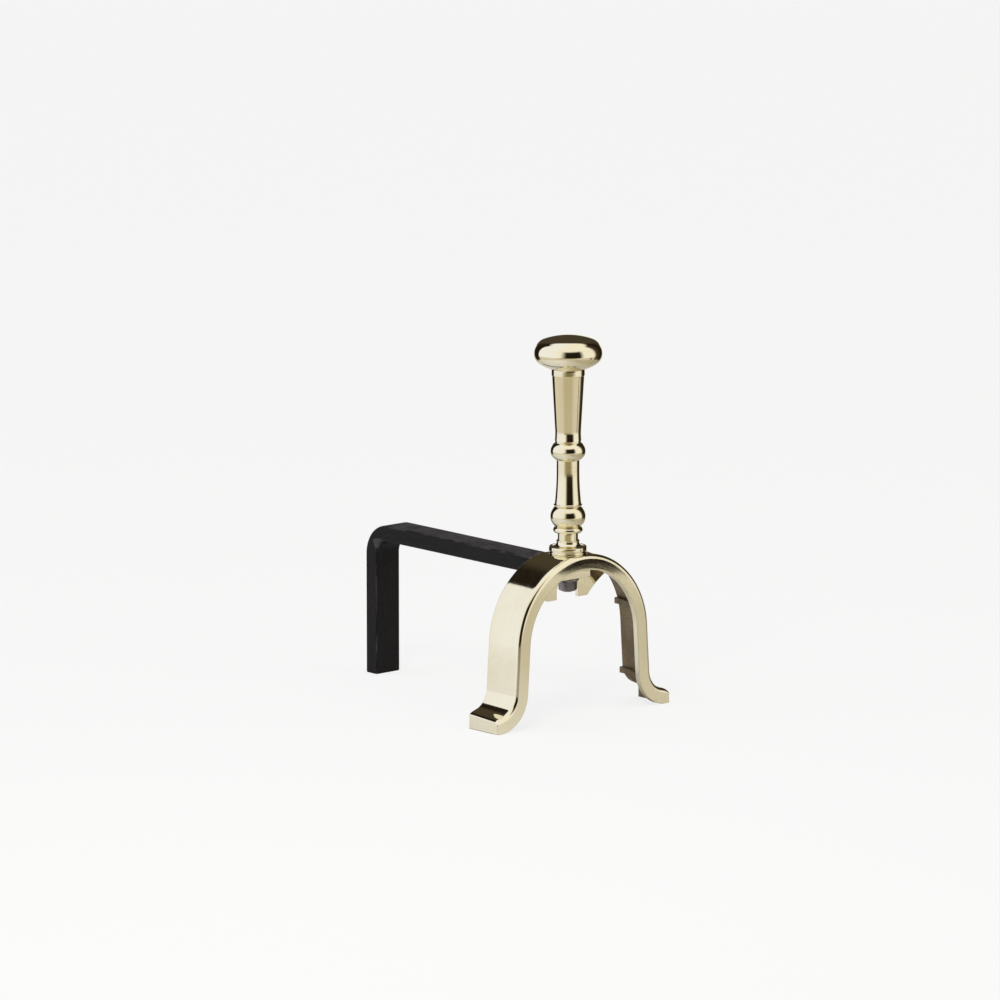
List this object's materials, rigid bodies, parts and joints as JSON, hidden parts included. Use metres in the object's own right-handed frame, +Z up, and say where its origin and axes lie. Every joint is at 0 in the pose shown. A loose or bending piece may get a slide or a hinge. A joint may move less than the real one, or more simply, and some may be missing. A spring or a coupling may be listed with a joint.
{
  "type": "andiron",
  "caption": "Fireside andiron: a hollow-backed brass arch on flared feet, a turned brass column with a mushroom knob, and a bent black iron log rest that forms the rear leg.",
  "frame": {"origin": "on the floor, under the middle of the whole piece's bounding box", "axes": "+X to the right across the hearth, +Y from the front face back to the rear leg, +Z up the column"},
  "size_m": [0.1828, 0.2568, 0.3043],
  "materials": {
    "cast_brass": "cast, with polished face, top and sides and a dull brown back",
    "turned_brass": "turned and mirror polished",
    "black_iron": "matt black over hot-rolled flat iron bar",
    "plain_steel": "dull grey steel"
  },
  "bodies": {
    "root": {"front_arch": "cast_brass", "billet_bar": "black_iron", "base_flange": "turned_brass", "lower_bead": "turned_brass", "lower_shaft": "turned_brass", "middle_bead": "turned_brass", "upper_shaft": "turned_brass", "knob": "turned_brass", "tie_rod": "plain_steel", "rod_washer": "plain_steel", "rod_nut": "plain_steel"}
  },
  "joints": []
}
